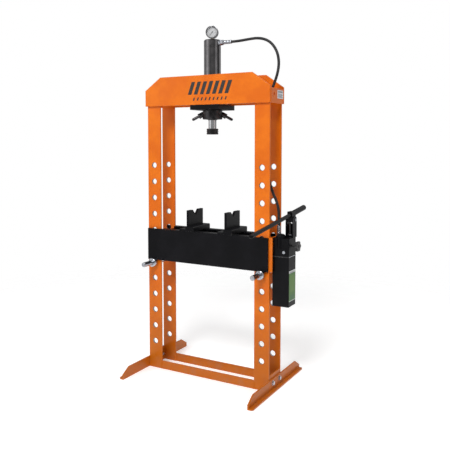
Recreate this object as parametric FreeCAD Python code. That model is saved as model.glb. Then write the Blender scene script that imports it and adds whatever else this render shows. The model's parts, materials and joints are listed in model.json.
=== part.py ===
import FreeCAD, Part
import math
import os

# Hydraulic shop press: four drilled flat-bar uprights, a boxed top beam that carries a sliding
# cylinder, a pin-held table with two V-blocks, and a hand pump on the right-hand side.
# Millimetres. While it is modelled, X = 0 is the ram axis, Y = 0 the front faces of the front
# uprights and Z = 0 the floor. Everything is moved at the end so that the origin is at the
# bottom centre of the whole press.

V = FreeCAD.Vector
X, Y, Z = V(1, 0, 0), V(0, 1, 0), V(0, 0, 1)

# ---------------------------------------------------------------- clearances
rest_gap = 0.3         # between a moving piece and the flat face it rests on
turn_gap = 0.4         # radial, round a piece that turns or is threaded
slide_gap = 2.0        # table channels to the faces of the uprights
seat_gap = 0.1         # radial, parts pushed together in one body
rod_gap = 0.08         # radial, running fits in the cylinder

# ---------------------------------------------------------------- frame
half_width = 373.0     # ram axis to the outer edge of an upright
upright_w = 84.0
upright_t = 10.0
frame_depth = 147.0    # front face of the front bars to rear face of the rear bars
upright_lap = 79.0     # how far the uprights reach up between the beam plates
edge_r = 1.6           # small rounding on rolled bars and cut plates

hole_r = 15.0
hole_pitch = 90.0
hole_count = 12
first_hole_z = 153.0
pin_hole = 6           # the hole, counted from the floor, that holds the table pins

foot_len = 620.0
foot_h = 57.0
foot_w = 29.0
foot_t = 8.0
foot_taper = 52.0
foot_tip_h = 24.0
foot_web_h = 79.0
foot_web_t = 8.0
foot_bolt_x = 40.0     # each side of the middle of the frame, along Y
foot_bolt_z = 38.0
foot_bolt_r = 6.0
foot_tip_r = 12.0

crossbar_h = 45.0
crossbar_t = 8.0

# ---------------------------------------------------------------- top beam
beam_z = 1466.0        # underside
beam_h = 154.0
beam_t = 13.0
beam_end_t = 6.0
beam_end_h = 75.0
chamfer_run = 100.0
chamfer_drop = 69.0
end_hole_r = 8.0
end_hole_y = 38.0
end_hole_up = 45.0     # above the underside of the beam
rail_w = 12.0
rail_h = 16.0
rail_end_gap = 5.0     # rails stop this far inside the uprights
emblem_x = 34.0        # its middle, to the right of the ram axis
emblem_up = 54.0       # above the underside of the beam
emblem_bars = 7
emblem_bar_w = 22.0
emblem_pitch = 37.0
emblem_h = 66.0
emblem_lean = 24.0
dash_count = 9         # the row of small bars under the emblem
dash_w = 8.0
dash_pitch = 24.0
dash_h = 16.0
dash_lean = 6.0
dash_up = 22.0
sticker_t = 0.6
end_label_w = 70.0
end_label_h = 42.0
end_label_y = 110.0
end_label_up = 46.0    # above the underside of the beam

# ---------------------------------------------------------------- cylinder and ram
mid_y = frame_depth / 2
cylinder_r = 45.0
bore_r = 33.0
rod_r = 21.5
cylinder_show = 0.4    # below the ring nut
cap_h = 30.0
cap_chamfer = 5.0
cap_spigot = 12.0
groove_depth = 1.6
groove_w = 4.0
gland_h = 30.0
piston_h = 40.0
piston_room = 7.0      # above the piston when the ram is up
stroke = 150.0
head_r = 31.5
head_h = 31.0
head_drop = 80.0       # below the cylinder, with the ram up
head_socket = 16.0
head_groove = 2.0
spring_room = 151.0    # between the piston and the gland, with the ram down
spring_wire_r = 2.5
spring_turns = 15

thrust_w = 175.0
thrust_t = 25.0
retainer_w = 160.0
retainer_t = 12.0
retainer_side = 4.0    # clear of the beam plates
carriage_bolt_x = 62.0
carriage_bolt_y = 50.0
carriage_bolt_r = 6.0
carriage_bolt_blind = 6.0  # of the thrust plate left under each bolt

nut_wall = 7.1         # outside the cylinder
nut_h = 49.0
nut_lug_r = 14.0
nut_lug_reach = 21.5   # out from the nut's wall
nut_lug_root = 6.0     # into the nut's wall
nut_lever_r = 7.5
nut_lever_reach = 49.5
nut_lever_slope = 28.0
nut_lever_turn = 29.0
nut_lever_up = 26.0    # from the bottom of the nut to where a lever's line crosses its wall
nut_chamfer = 2.0

# ---------------------------------------------------------------- gauge
gauge_r = 31.5
gauge_up = 39.0        # its middle, above the cylinder's cap
gauge_back = 12.0
gauge_front = 14.0
gauge_wall = 2.5
bezel_r = 33.5
bezel_t = 5.0
bezel_lip = 4.0
bezel_round = 1.5
dial_depth = 6.0       # behind the case's front edge
dial_t = 1.0
lens_t = 1.8
stem_r = 6.0
stem_hex = 17.0
stem_hex_h = 6.0
stem_depth = 10.0      # into the cap
stem_top = 5.0         # into the gauge's case
gauge_turn = 20.0      # the face looks this far to the right of straight ahead
needle_len = 22.0
needle_tail = 7.0
needle_w = 4.4
needle_tip_w = 1.2
needle_t = 0.8
needle_gap = 0.5       # in front of the dial
needle_hub_r = 3.5
needle_hub_t = 2.0
needle_zero = 225.0    # angle of the zero mark, counter-clockwise from 3 o'clock

# ---------------------------------------------------------------- hose and its fittings
hose_r = 7.0
port_up = 12.0         # above the lower face of the cylinder's cap
port_boss_r = 15.0
port_boss_len = 8.0
port_depth = 12.0      # into the cap
port_thread_r = 6.5
fitting_hex = 24.0
fitting_hex_h = 15.0
ferrule_r = 9.5
ferrule_len = 48.0

# ---------------------------------------------------------------- table, pins and V-blocks
table_shy = 3.0        # channels end this far inside the outer edges of the uprights
table_h = 174.0
table_t = 10.0
table_flange = 40.0
table_flange_end = 5.0  # flanges stop this far inside the uprights
spacer_t = 8.0
pin_slack = 1.0        # radial, pins in the holes of the uprights
pin_collar_r = 25.0
pin_collar_len = 20.0
pin_collar_gap = 1.0   # collar to the front face of the table
pin_collar_round = 8.0
pin_tail_r = 13.0
pin_tail_len = 74.0
pin_tip = 3.0          # chamfers and roundings at the pin's ends
pin_rear = 8.0         # how far the pin shows behind the table

vblock_t = 14.0
vblock_len = 146.0
vblock_h = 111.0
vblock_base_w = 52.0   # right-hand bar, from the outer face of the plate
vblock_base_t = 26.0
vblock_foot_w = 38.0   # left-hand foot, out from the plate
vblock_foot_t = 10.0
vblock_round = 5.0
left_block_x = -120.0  # outer face of the left block's upright plate
left_notch_w = 60.0
left_notch_d = 32.0
right_block_x = 114.0
right_notch_w = 52.0
right_notch_d = 28.0

# ---------------------------------------------------------------- pump
bracket_t = 8.0
bracket_lip = 16.0     # out from the uprights
bracket_over = 1.0     # above the pump
bracket_h = 173.0
pump_w = 90.0          # out from the bracket
pump_y = 18.0
pump_d = 91.0
pump_z = 445.0
reservoir_h = 251.0
gasket_t = 4.0
pump_head_h = 90.0
pump_corner_r = 4.0
boss_r = 24.0
boss_top = 21.0        # above the head
boss_depth = 50.0      # into the head
boss_x = 38.0          # from the bracket
boss_y = 20.0          # from the pump's front face
pump_port_x = 11.5
pump_port_y = 55.0
pump_port_h = 8.0
pump_port_depth = 10.0
pump_port_r = 11.0
pump_hex = 22.0
pump_bolt_r = 5.0
pump_bolt_dy = 28.0
pump_bolt_up = (205.0, 315.0)  # above the bottom of the reservoir
pump_bolt_depth = 12.0

cheek_t = 6.0
cheek_gap = 30.0
cheek_d = 46.0
cheek_h = 104.0
cheek_round = 14.0
tower_x = 70.0         # middle of the tower, from the bracket
tower_y = 75.0         # middle of the tower, from the pump's front face
tower_base_h = 12.0
tower_web_h = 64.0     # plate that joins the cheeks at the back
pivot_r = 6.0
pivot_up = 88.0        # above the pump head
pivot_back = 8.0       # behind the middle of the tower
pivot_side = 3.0       # how far the pin shows past a cheek
hub_gap = 1.0
hub_front = 26.0
hub_back = 18.0
hub_down = 11.0
hub_up = 42.0
lever_r = 10.0
lever_up = 28.0        # bar's line above the pivot
lever_front = 461.0    # pivot to the front end of the bar
lever_drop = 6.7       # degrees
socket_r = 14.0
socket_len = 142.0
socket_root = 12.0     # of the socket left free past the bar's end
socket_bore = 40.0     # the bar's hole starts this far in front of the pivot
plunger_r = 8.0
plunger_front = 20.0   # in front of the pivot
plunger_depth = 22.0   # in the pump head, with the lever down
plunger_room = 8.0     # under the plunger
plunger_gap = 1.5      # between its domed top and the lever's hub

knob_r = 27.0
knob_t = 12.0
knob_stem_r = 5.0
knob_stem_len = 24.0
knob_depth = 12.0
knob_lobes = 6
knob_lobe_r = 8.0
knob_end_gap = 2.0
knob_down = 40.0       # below the top of the pump
plug_r = 7.0
plug_h = 5.0
plug_x = 65.0
plug_up = 22.0         # above the bottom of the pump's head
label_w = 78.0
label_h = 155.0
label_up = 27.0        # above the bottom of the reservoir

# The hose, from the upper ferrule over the end of the beam and down between the right-hand
# uprights to the pump. Points chosen by hand.
hose_route = (
    (116, 73.5, 1793),
    (158, 73.5, 1793),
    (214, 74, 1798),
    (276, 75, 1801),
    (334, 76, 1781),
    (374, 77, 1732),
    (388, 77, 1668),
    (376, 76, 1602),
    (346, 75, 1532),
    (326, 74, 1444),
    (318, 73, 1340),
    (316, 73, 1224),
    (326, 74, 1112),
    (352, 74, 1020),
    (384, 74, 960),
    (392.5, 73, 904),
    (392.5, 73, 846),
)


# ---------------------------------------------------------------- helpers
def block(x0, x1, y0, y1, z0, z1):
    return Part.makeBox(x1 - x0, y1 - y0, z1 - z0, V(x0, y0, z0))


def rod(start, along, radius, length):
    return Part.makeCylinder(radius, length, start, along)


def ring(start, along, outer, inner, length):
    return rod(start, along, outer, length).cut(rod(start, along, inner, length))


def slab(points, push):
    """A flat outline pushed along a vector."""
    corners = [V(*p) for p in points]
    return Part.Face(Part.makePolygon(corners + corners[:1])).extrude(push)


def hexagon(start, along, across, height):
    """A hexagonal prism whose flats are `across` apart."""
    side = Z if abs(along.z) < 0.5 else X
    other = along.cross(side)
    radius = across / math.sqrt(3)
    corners = []
    for k in range(6):
        a = math.radians(60 * k)
        corners.append(start + side * (radius * math.cos(a)) + other * (radius * math.sin(a)))
    return Part.Face(Part.makePolygon(corners + corners[:1])).extrude(along * height)


def turned(outline, start, along):
    """A solid of revolution: (radius, height) points about a line."""
    profile = [V(r, 0, h) for r, h in outline]
    solid = Part.Face(Part.makePolygon(profile + profile[:1])).revolve(V(0, 0, 0), Z, 360)
    solid.Placement = FreeCAD.Placement(start, FreeCAD.Rotation(Z, along))
    return solid


def joined(first, *others):
    for other in others:
        first = first.fuse(other)
    return first.removeSplitter()


def soften(shape, radius, wanted):
    """Rounds the straight edges that `wanted` picks."""
    edges = [e for e in shape.Edges if isinstance(e.Curve, Part.Line) and wanted(e)]
    return shape.makeFillet(radius, edges)


def runs_along(axis):
    def wanted(edge):
        d = edge.Vertexes[1].Point - edge.Vertexes[0].Point
        return abs(d.normalize().dot(axis)) > 0.999
    return wanted


def mirrored(shape):
    return shape.mirror(V(0, 0, 0), X)


def bolt(seat, along, radius, grip, nut_at=None):
    """Hex head behind `seat`, shank along the grip, and a nut and its thread past it."""
    head = hexagon(seat - along * (radius * 1.3), along, radius * 3, radius * 1.3)
    length = grip if nut_at is None else nut_at + radius * 2.4
    made = head.fuse(rod(seat, along, radius, length))
    if nut_at is not None:
        made = made.fuse(hexagon(seat + along * nut_at, along, radius * 3, radius * 1.6))
    return made.removeSplitter()


nodes = {}


def add(name, *solids):
    nodes[name] = solids[0] if len(solids) == 1 else Part.makeCompound(list(solids))


# ---------------------------------------------------------------- frame
rear_bar_y = frame_depth - upright_t
hole_x = half_width - upright_w / 2
pin_z = first_hole_z + (pin_hole - 1) * hole_pitch
pin_r = hole_r - pin_slack
upright_top = beam_z + upright_lap


def upright(x_middle, y_front):
    bar = block(x_middle - upright_w / 2, x_middle + upright_w / 2,
                y_front, y_front + upright_t, 0, upright_top)
    bar = soften(bar, edge_r, runs_along(Z))
    for k in range(hole_count):
        z = first_hole_z + k * hole_pitch
        bar = bar.cut(rod(V(x_middle, y_front - 1, z), Y, hole_r, upright_t + 2))
    return bar


for side, x_middle in (("left", -hole_x), ("right", hole_x)):
    add("upright_front_" + side, upright(x_middle, 0))
    add("upright_rear_" + side, upright(x_middle, rear_bar_y))


def foot_right():
    y0, y1 = mid_y - foot_len / 2, mid_y + foot_len / 2
    x0 = half_width
    angle = slab([(x0, y0, 0), (x0 + foot_w, y0, 0), (x0 + foot_w, y0, foot_t),
                  (x0 + foot_t, y0, foot_t), (x0 + foot_t, y0, foot_h), (x0, y0, foot_h)],
                 Y * foot_len)
    for end, inward in ((y0, 1), (y1, -1)):
        wedge = slab([(x0 - 1, end - inward, foot_tip_h),
                      (x0 - 1, end, foot_tip_h),
                      (x0 - 1, end + inward * foot_taper, foot_h),
                      (x0 - 1, end + inward * foot_taper, foot_h + 1),
                      (x0 - 1, end - inward, foot_h + 1)], X * (foot_t + 2))
        angle = angle.cut(wedge)
    for dy in (-foot_bolt_x, foot_bolt_x):
        angle = angle.cut(rod(V(x0 - 1, mid_y + dy, foot_bolt_z), X, foot_bolt_r, foot_t + 2))
    outer = half_width + foot_w

    def tip(edge):
        return runs_along(Z)(edge) and abs(edge.Vertexes[0].X - outer) < 0.01
    return soften(angle, foot_tip_r, tip)


def foot_web_right():
    web = block(half_width - foot_web_t, half_width, upright_t, rear_bar_y, 0, foot_web_h)
    for dy in (-foot_bolt_x, foot_bolt_x):
        hole = V(half_width - foot_web_t - 1, mid_y + dy, foot_bolt_z)
        web = web.cut(rod(hole, X, foot_bolt_r, foot_web_t + 2))
    return web


add("foot_right", foot_right())
add("foot_left", mirrored(foot_right()))
add("foot_web_right", foot_web_right())
add("foot_web_left", mirrored(foot_web_right()))

inner_half = half_width - upright_w
add("crossbar_front", block(-inner_half, inner_half, 0, crossbar_t, 0, crossbar_h))
add("crossbar_rear", block(-inner_half, inner_half, frame_depth - crossbar_t, frame_depth,
                           0, crossbar_h))

# ---------------------------------------------------------------- top beam
beam_half = half_width + beam_end_t
beam_top = beam_z + beam_h


def beam_plate(y_front):
    z_corner = beam_top - chamfer_drop
    x_corner = beam_half - chamfer_run
    plate = slab([(-beam_half, y_front, beam_z), (beam_half, y_front, beam_z),
                  (beam_half, y_front, z_corner), (x_corner, y_front, beam_top),
                  (-x_corner, y_front, beam_top), (-beam_half, y_front, z_corner)],
                 Y * beam_t)

    def across(edge):
        return not runs_along(Y)(edge)
    return soften(plate, edge_r, across)


add("beam_plate_front", beam_plate(-beam_t))
add("beam_plate_rear", beam_plate(frame_depth))

end_right = block(half_width, beam_half, 0, frame_depth, beam_z, beam_z + beam_end_h)
end_hole = rod(V(half_width - 1, end_hole_y, beam_z + end_hole_up), X, end_hole_r,
               beam_end_t + 2)
add("beam_end_right", end_right.cut(end_hole))
add("beam_end_left", mirrored(end_right))

rail_half = inner_half - rail_end_gap
add("beam_rail_front", block(-rail_half, rail_half, 0, rail_w, beam_z, beam_z + rail_h))
add("beam_rail_rear", block(-rail_half, rail_half, frame_depth - rail_w, frame_depth,
                            beam_z, beam_z + rail_h))


def slanted_row(count, pitch, width, height, lean, z):
    """A row of leaning printed bars on the front of the beam."""
    bars = []
    for k in range(count):
        x = emblem_x + (k - (count - 1) / 2) * pitch - (width + lean) / 2
        bars.append(slab([(x, -beam_t, z), (x + width, -beam_t, z),
                          (x + width + lean, -beam_t, z + height),
                          (x + lean, -beam_t, z + height)], Y * -sticker_t))
    return bars


emblem = slanted_row(emblem_bars, emblem_pitch, emblem_bar_w, emblem_h, emblem_lean,
                     beam_z + emblem_up)
dashes = slanted_row(dash_count, dash_pitch, dash_w, dash_h, dash_lean, beam_z + dash_up)
add("beam_emblem", *emblem, *dashes)
end_label_z = beam_z + end_label_up
add("end_label", block(beam_half, beam_half + sticker_t,
                       end_label_y - end_label_w / 2, end_label_y + end_label_w / 2,
                       end_label_z - end_label_h / 2, end_label_z + end_label_h / 2))

# ---------------------------------------------------------------- cylinder carriage
def on_axis(z):
    return V(0, mid_y, z)


thrust_top = beam_z - rest_gap
thrust_bottom = thrust_top - thrust_t
nut_top = thrust_bottom - rest_gap
nut_z = nut_top - nut_h
nut_r = cylinder_r + turn_gap + nut_wall
cylinder_bottom = nut_z - cylinder_show
cap_z = (cylinder_bottom + gland_h + spring_room + stroke + piston_h + piston_room
         + cap_spigot)
cap_top = cap_z + cap_h
port_z = cap_z + port_up
gauge_z = cap_top + gauge_up
head_z = cylinder_bottom - head_drop

tube = ring(on_axis(cylinder_bottom), Z, cylinder_r, bore_r, cap_z - cylinder_bottom)
for z in (cap_z - groove_w * 3, cap_z - groove_w):
    tube = tube.cut(ring(on_axis(z), Z, cylinder_r + 1, cylinder_r - groove_depth, groove_w / 2))
add("cylinder_tube", tube)

cap = turned([(0, -cap_spigot), (bore_r - seat_gap, -cap_spigot), (bore_r - seat_gap, 0),
              (cylinder_r, 0), (cylinder_r, cap_h - cap_chamfer),
              (cylinder_r - cap_chamfer, cap_h), (0, cap_h)], on_axis(cap_z), Z)
port_hole = rod(V(cylinder_r - port_depth, mid_y, port_z), X, port_thread_r, port_depth + 1)
stem_hole = rod(on_axis(cap_top - stem_depth), Z, stem_r, stem_depth + 1)
add("cylinder_cap", cap.cut(port_hole).cut(stem_hole))

gland = ring(on_axis(cylinder_bottom), Z, bore_r - seat_gap, rod_r + rod_gap, gland_h)
add("cylinder_gland", gland)

thrust = block(-thrust_w / 2, thrust_w / 2, -beam_t, frame_depth + beam_t,
               thrust_bottom, thrust_top)
thrust = soften(thrust, edge_r, runs_along(Z))
thrust = thrust.cut(rod(on_axis(thrust_bottom - 1), Z, cylinder_r + seat_gap, thrust_t + 2))
retainer_z = beam_z + rail_h + rest_gap
retainer = block(-retainer_w / 2, retainer_w / 2, retainer_side, frame_depth - retainer_side,
                 retainer_z, retainer_z + retainer_t)
retainer = retainer.cut(rod(on_axis(retainer_z - 1), Z, cylinder_r + seat_gap, retainer_t + 2))
carriage_bolts = []
for dx in (-carriage_bolt_x, carriage_bolt_x):
    for dy in (-carriage_bolt_y, carriage_bolt_y):
        seat = V(dx, mid_y + dy, retainer_z + retainer_t)
        grip = retainer_z + retainer_t - thrust_bottom - carriage_bolt_blind
        carriage_bolts.append(bolt(seat, Z * -1, carriage_bolt_r, grip))
        hole = rod(seat, Z * -1, carriage_bolt_r, grip)
        thrust = thrust.cut(hole)
        retainer = retainer.cut(hole)
add("thrust_plate", thrust)
add("retainer_plate", retainer)
add("carriage_bolts", *carriage_bolts)

# ---------------------------------------------------------------- ring nut
nut = ring(on_axis(nut_z), Z, nut_r, cylinder_r + turn_gap, nut_h)
nut = nut.makeChamfer(nut_chamfer, [e for e in nut.Edges if isinstance(e.Curve, Part.Circle)
                                    and e.Curve.Radius > nut_r - 1])
slope = math.radians(nut_lever_slope)
levers = []
bore = rod(on_axis(nut_z - 1), Z, cylinder_r + turn_gap, nut_h + 2)
for turn in (nut_lever_turn, nut_lever_turn + 180):
    a = math.radians(turn)
    outward = V(math.cos(a), math.sin(a), 0)
    along = outward * math.cos(slope) - Z * math.sin(slope)
    wall_point = on_axis(nut_z + nut_lever_up) + outward * nut_r
    lug_len = nut_lug_reach / math.cos(slope) + nut_lug_root
    nut = nut.fuse(rod(wall_point - along * nut_lug_root, along, nut_lug_r, lug_len))
    lever_len = nut_lever_reach / math.cos(slope)
    lever = rod(wall_point, along, nut_lever_r, lever_len)
    lever = lever.fuse(Part.makeSphere(nut_lever_r, wall_point + along * lever_len))
    levers.append(lever.removeSplitter())
    nut = nut.cut(rod(wall_point, along, nut_lever_r, lug_len))
lug_end = nut_r + nut_lug_reach + nut_lug_r
above_nut = block(-lug_end, lug_end, mid_y - lug_end, mid_y + lug_end, nut_top,
                  nut_top + nut_lug_r * 2)
nut = nut.cut(bore).cut(above_nut).removeSplitter()
add("ring_nut", nut)
add("nut_levers", *levers)

# ---------------------------------------------------------------- ram
piston_top = cap_z - cap_spigot - piston_room
piston_bottom = piston_top - piston_h
add("piston", rod(on_axis(piston_bottom), Z, bore_r - rod_gap, piston_h))
rod_bottom = head_z + head_h - head_socket
add("piston_rod", rod(on_axis(rod_bottom), Z, rod_r, piston_bottom - rod_bottom))
head_in = head_r - head_groove
head_line = [(0, 0), (head_in, 0), (head_r, head_groove)]
for third in (head_h / 3, head_h * 2 / 3):
    head_line += [(head_r, third - head_groove), (head_in, third - head_groove / 2),
                  (head_in, third + head_groove / 2), (head_r, third + head_groove)]
head_line += [(head_r, head_h - head_groove), (head_in, head_h), (0, head_h)]
head = turned(head_line, on_axis(head_z), Z)
add("press_head", head.cut(rod(on_axis(rod_bottom), Z, rod_r, head_h)))

spring_z = cylinder_bottom + gland_h + spring_wire_r + seat_gap
spring_len = piston_bottom - spring_z - spring_wire_r - seat_gap
spring_mean = (rod_r + bore_r) / 2
helix = Part.makeHelix(spring_len / spring_turns, spring_len, spring_mean)
wire_end = Part.Wire(Part.Circle(V(spring_mean, 0, 0), Y, spring_wire_r).toShape())
spring = Part.Wire(helix).makePipeShell([wire_end], True, True)
spring.translate(on_axis(spring_z))
add("return_spring", spring)

# ---------------------------------------------------------------- gauge
gauge_at = on_axis(gauge_z)
forward = Y * -1
case = rod(gauge_at + Y * gauge_back, forward, gauge_r, gauge_back + gauge_front)
case = case.cut(rod(gauge_at + Y * (gauge_back - gauge_wall), forward, gauge_r - gauge_wall,
                    gauge_back + gauge_front))
case = case.cut(rod(on_axis(gauge_z - gauge_r - 1), Z, stem_r, stem_top + 1))
bezel = ring(gauge_at + forward * gauge_front, forward, bezel_r, gauge_r - bezel_lip, bezel_t)
bezel = bezel.makeFillet(bezel_round, [e for e in bezel.Edges
                                       if isinstance(e.Curve, Part.Circle)
                                       and e.Curve.Radius > gauge_r
                                       and e.Curve.Center.y < mid_y - gauge_front - 1])
dial_front = gauge_front - dial_depth
dial = rod(gauge_at + forward * (dial_front - dial_t), forward, gauge_r - gauge_wall, dial_t)
lens = rod(gauge_at + forward * (gauge_front - lens_t), forward, gauge_r - gauge_wall, lens_t)
pointer = slab([(-needle_w / 2, 0, -needle_tail), (needle_w / 2, 0, -needle_tail),
                (needle_tip_w / 2, 0, needle_len), (-needle_tip_w / 2, 0, needle_len)],
               forward * needle_t)
needle = joined(pointer, rod(V(0, 0, 0), forward, needle_hub_r, needle_hub_t))
needle.rotate(V(0, 0, 0), Y, 90 - needle_zero)
needle.translate(gauge_at + forward * (dial_front + needle_gap))
stem_z = cap_top - stem_depth
stem = rod(on_axis(stem_z), Z, stem_r, gauge_z - gauge_r + stem_top - stem_z)
stem = stem.fuse(hexagon(on_axis(cap_top), Z, stem_hex, stem_hex_h)).removeSplitter()
for name, piece in (("gauge_stem", stem), ("gauge_case", case), ("gauge_bezel", bezel),
                    ("gauge_dial", dial), ("gauge_lens", lens), ("gauge_needle", needle)):
    piece.rotate(on_axis(0), Z, gauge_turn)
    add(name, piece)

# ---------------------------------------------------------------- hose and its fittings
port_start = V(cylinder_r - port_depth, mid_y, port_z)
hex_start = cylinder_r + port_boss_len
port = rod(port_start, X, port_thread_r, port_depth)
saddle = rod(port_start, X, port_boss_r, port_depth + port_boss_len)
saddle = saddle.cut(rod(on_axis(port_z - 2 * port_boss_r), Z, cylinder_r, 4 * port_boss_r))
port = joined(port, saddle, hexagon(V(hex_start, mid_y, port_z), X, fitting_hex, fitting_hex_h),
              rod(V(hex_start, mid_y, port_z), X, ferrule_r, fitting_hex_h + ferrule_len))
add("hose_port", port)


def hose_wire(points):
    """Straight runs joined by tangent arcs, as large as their two runs allow."""
    edges, here = [], points[0]
    for before, corner, after in zip(points, points[1:], points[2:]):
        back, ahead = before - corner, after - corner
        half = (math.pi - back.getAngle(ahead)) / 2
        setback = 0.45 * min(back.Length, ahead.Length)
        start = corner + V(back).normalize() * setback
        end = corner + V(ahead).normalize() * setback
        inward = ((start + end) / 2 - corner).normalize()
        radius = setback / math.tan(half)
        print("hose arc radius %.0f" % radius)
        middle = corner + inward * (setback / math.sin(half) - radius)
        edges.append(Part.LineSegment(here, start).toShape())
        edges.append(Part.Arc(start, middle, end).toShape())
        here = end
    edges.append(Part.LineSegment(here, points[-1]).toShape())
    return Part.Wire(edges)


route = [V(*p) for p in hose_route]
path = hose_wire(route)
mouth = Part.Wire(Part.Circle(route[0], route[1] - route[0], hose_r).toShape())
hose = path.makePipeShell([mouth], True, False)
print("hose length %.0f, volume ratio %.4f"
      % (path.Length, hose.Volume / (math.pi * hose_r ** 2 * path.Length)))
add("hose", hose)

# ---------------------------------------------------------------- table
table_z = pin_z + pin_r + rest_gap
table_top = table_z + table_h
table_half = half_width - table_shy
flange_half = inner_half - table_flange_end


def table_channel(face, inward):
    """A channel whose web stands outside the uprights and whose flanges reach between them."""
    web = [face, face + inward * table_t]
    lip = [face, face + inward * table_flange]
    made = block(-table_half, table_half, min(web), max(web), table_z, table_top)
    made = soften(made, edge_r, lambda e: runs_along(X)(e)
                  and abs(e.Vertexes[0].Y - face) < 0.01)
    made = soften(made, edge_r, lambda e: runs_along(Z)(e)
                  and abs(e.Vertexes[0].Y - face) < 0.01)
    shy = edge_r * inward
    for z in (table_z, table_top - table_t):
        made = made.fuse(block(-flange_half, flange_half, min(lip[0] + shy, lip[1]),
                               max(lip[0] + shy, lip[1]), z, z + table_t))
    return made.removeSplitter()


front_face = -slide_gap - table_t
rear_face = frame_depth + slide_gap + table_t
add("table_channel_front", table_channel(front_face, 1))
add("table_channel_rear", table_channel(rear_face, -1))
spacer = block(flange_half - spacer_t, flange_half, -slide_gap, frame_depth + slide_gap,
               table_z + table_t, table_top - table_t)
add("table_spacer_right", spacer)
add("table_spacer_left", mirrored(spacer))


def pin(x):
    collar_y = front_face - pin_collar_gap
    made = rod(V(x, collar_y, pin_z), Y, pin_r, rear_face + pin_rear - collar_y)
    made = made.makeChamfer(pin_tip, [e for e in made.Edges if isinstance(e.Curve, Part.Circle)
                                      and e.Curve.Center.y > mid_y])
    collar = rod(V(x, collar_y, pin_z), forward, pin_collar_r, pin_collar_len)
    collar = collar.makeFillet(pin_collar_round, [e for e in collar.Edges
                               if isinstance(e.Curve, Part.Circle)
                               and e.Curve.Center.y < collar_y - 1])
    tail = rod(V(x, collar_y, pin_z), forward, pin_tail_r, pin_collar_len + pin_tail_len)
    tail = tail.makeFillet(pin_tip, [e for e in tail.Edges if isinstance(e.Curve, Part.Circle)
                                     and e.Curve.Center.y < collar_y - pin_collar_len - 1])
    return joined(made, collar, tail)


add("pin_left", pin(-hole_x))
add("pin_right", pin(hole_x))

vblock_z = table_top + rest_gap


def v_block(x_outer, notch_w, notch_d):
    y0, y1 = mid_y - vblock_len / 2, mid_y + vblock_len / 2
    top = vblock_z + vblock_h
    plate = slab([(x_outer, y0, vblock_z), (x_outer, y1, vblock_z), (x_outer, y1, top),
                  (x_outer, mid_y + notch_w / 2, top), (x_outer, mid_y, top - notch_d),
                  (x_outer, mid_y - notch_w / 2, top), (x_outer, y0, top)], X * vblock_t)
    base = block(x_outer, x_outer + vblock_base_w, front_face, rear_face,
                 vblock_z, vblock_z + vblock_base_t)
    base = soften(base, vblock_round, lambda e: runs_along(Y)(e)
                  and e.Vertexes[0].Z > vblock_z + 1 and e.Vertexes[0].X > x_outer + 1)
    foot = block(x_outer - vblock_foot_w, x_outer, front_face, rear_face,
                 vblock_z, vblock_z + vblock_foot_t)
    return joined(plate, base, foot)


add("v_block_left", v_block(left_block_x, left_notch_w, left_notch_d))
add("v_block_right", v_block(right_block_x, right_notch_w, right_notch_d))

# ---------------------------------------------------------------- pump
pump_x = half_width + bracket_t
pump_right = pump_x + pump_w
head_bottom = pump_z + reservoir_h + gasket_t
pump_top = head_bottom + pump_head_h

bracket_top = pump_top + bracket_over
bracket_z = bracket_top - bracket_h
bracket = block(half_width, pump_x, 0, frame_depth, bracket_z, bracket_top)
for lip_y in (0, frame_depth - bracket_t):
    bracket = bracket.fuse(block(half_width, half_width + bracket_lip, lip_y, lip_y + bracket_t,
                                 bracket_z, bracket_top))
bracket = bracket.removeSplitter()
reservoir = block(pump_x, pump_right, pump_y, pump_y + pump_d, pump_z, pump_z + reservoir_h)
reservoir = soften(reservoir, pump_corner_r, runs_along(Z))
gasket = block(pump_x, pump_right, pump_y, pump_y + pump_d, head_bottom - gasket_t, head_bottom)
pump_head = block(pump_x, pump_right, pump_y, pump_y + pump_d, head_bottom, pump_top)
pump_head = soften(pump_head, pump_corner_r, runs_along(Z))
boss_at = V(pump_x + boss_x, pump_y + boss_y, pump_top - boss_depth)
boss = rod(boss_at, Z, boss_r, boss_depth + boss_top)
boss = boss.makeFillet(boss_r * 0.6, [e for e in boss.Edges if isinstance(e.Curve, Part.Circle)
                                      and e.Curve.Center.z > pump_top])
port_at = V(pump_x + pump_port_x, pump_y + pump_port_y, pump_top)
port_pad = rod(port_at - Z * pump_port_depth, Z, pump_port_r, pump_port_depth + pump_port_h)
pump_head = joined(pump_head, boss, port_pad)
fitting_at = port_at + Z * pump_port_h
fitting = joined(hexagon(fitting_at, Z, pump_hex, fitting_hex_h),
                 rod(fitting_at, Z, ferrule_r, hose_route[-1][2] - fitting_at.z))

bolts = []
for up in pump_bolt_up:
    for dy in (-pump_bolt_dy, pump_bolt_dy):
        seat = V(half_width, pump_y + pump_d / 2 + dy, pump_z + up)
        bolts.append(bolt(seat, X, pump_bolt_r, bracket_t + pump_bolt_depth))
        hole = rod(seat, X, pump_bolt_r, bracket_t + pump_bolt_depth)
        bracket = bracket.cut(hole)
        reservoir = reservoir.cut(hole)
        pump_head = pump_head.cut(hole)
for side in (-1, 1):
    for dy in (-foot_bolt_x, foot_bolt_x):
        seat = V(side * (half_width + foot_t), mid_y + dy, foot_bolt_z)
        bolts.append(bolt(seat, X * -side, foot_bolt_r, 0, foot_t + foot_web_t))

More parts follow.
